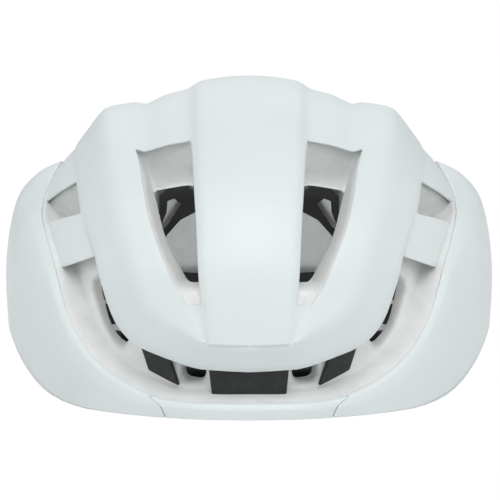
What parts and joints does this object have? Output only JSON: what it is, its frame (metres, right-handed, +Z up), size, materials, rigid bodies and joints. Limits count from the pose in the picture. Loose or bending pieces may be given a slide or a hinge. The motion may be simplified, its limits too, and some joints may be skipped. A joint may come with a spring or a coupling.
{
  "type": "cycling helmet",
  "caption": "Vented road cycling helmet with foam body in thin skins, dark brow inserts, dial fit cradle and webbing straps with a buckle.",
  "frame": {"origin": "under the middle of the helmet, on the surface it stands on", "axes": "-Y to the front, +X to the wearer's left, +Z up"},
  "size_m": [0.208, 0.276, 0.129],
  "materials": {
    "shell": "satin white polycarbonate skin",
    "foam": "moulded bead foam, pale",
    "insert": "matt black moulded insert",
    "padding": "brushed knit over foam",
    "nylon": "fine textured black nylon",
    "knob": "soft touch black",
    "webbing": "flat woven polyester",
    "keeper_rubber": "matt black rubber"
  },
  "bodies": {
    "helmet": {"upper_shell": "shell", "brow_shell": "shell", "side_shell_left": "shell", "side_shell_right": "shell", "foam_liner": "foam", "brow_panel_left": "insert", "brow_panel_centre": "insert", "brow_panel_right": "insert", "brow_pad": "padding", "crown_pad": "padding", "side_pad_left": "padding", "side_pad_right": "padding", "height_rail": "nylon", "temple_anchor_left": "nylon", "temple_anchor_right": "nylon", "temple_clip_left": "nylon", "temple_clip_right": "nylon", "strap_anchors_left": "nylon", "strap_anchors_right": "nylon", "front_strap_left": "webbing", "front_strap_right": "webbing", "rear_strap_left": "webbing", "rear_strap_right": "webbing", "chin_strap_left": "webbing", "chin_strap_right": "webbing", "strap_divider_left": "nylon", "strap_divider_right": "nylon", "buckle_housing": "nylon"},
    "cradle": {"cradle": "nylon", "dial_cover": "nylon"},
    "dial": {"pinion": "nylon", "dial_knob": "knob"},
    "band_left": {"band_left": "nylon"},
    "band_right": {"band_right": "nylon"},
    "tongue": {"buckle_tongue": "nylon"},
    "keeper": {"strap_keeper": "keeper_rubber"}
  },
  "joints": [
    {"name": "cradle_height", "type": "hinge", "parent": "helmet", "child": "cradle", "pos_m": [0, 0.03119, 0.03917], "axis": [1, 0, 0], "range_deg": [-6, 0]},
    {"name": "dial_turn", "type": "hinge", "parent": "cradle", "child": "dial", "pos_m": [0, 0.0928, 0.02346], "axis": [0, -0.969, 0.247], "range_deg": [0, 180]},
    {"name": "left_band_feed", "type": "hinge", "parent": "cradle", "child": "band_left", "pos_m": [0, 0.024, 0.041], "axis": [0, 0.247, 0.969], "range_deg": [0, 12.7]},
    {"name": "right_band_feed", "type": "hinge", "parent": "cradle", "child": "band_right", "pos_m": [0, 0.024, 0.041], "axis": [0, -0.247, -0.969], "range_deg": [0, 12.7]},
    {"name": "buckle_release", "type": "slide", "parent": "helmet", "child": "tongue", "axis": [1, 0, 0], "range_m": [0, 0.016], "deforming": ["chin_strap_left"]},
    {"name": "keeper_slide", "type": "slide", "parent": "helmet", "child": "keeper", "axis": [1, 0, 0], "range_m": [-0.003, 0.003]}
  ],
  "couplings": [
    {"joint": "left_band_feed", "follows": "dial_turn", "ratio": 0.070423},
    {"joint": "right_band_feed", "follows": "dial_turn", "ratio": 0.070423}
  ]
}
